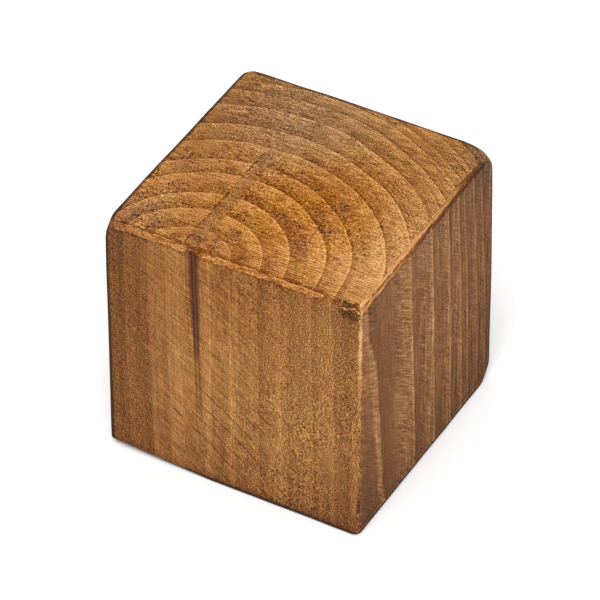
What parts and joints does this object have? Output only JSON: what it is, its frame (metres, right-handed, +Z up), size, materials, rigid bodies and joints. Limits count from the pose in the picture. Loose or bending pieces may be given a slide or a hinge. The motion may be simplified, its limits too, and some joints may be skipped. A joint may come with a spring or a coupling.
{
  "type": "wooden cube",
  "caption": "Small stained softwood cube with eased edges and worn corners, end grain on its top and base, and pith breaking out of its front face.",
  "frame": {"origin": "centre of the base, on the surface that the cube stands on", "axes": "+Z up along the grain, -Y out of the front face where the pith breaks out, +X to the right as seen from the front"},
  "size_m": [0.049, 0.0486, 0.05],
  "materials": {
    "stained_wood": "satin brown stain over softwood, more open and lighter on the end grain"
  },
  "bodies": {
    "root": {"wooden_cube": "stained_wood"}
  },
  "joints": []
}
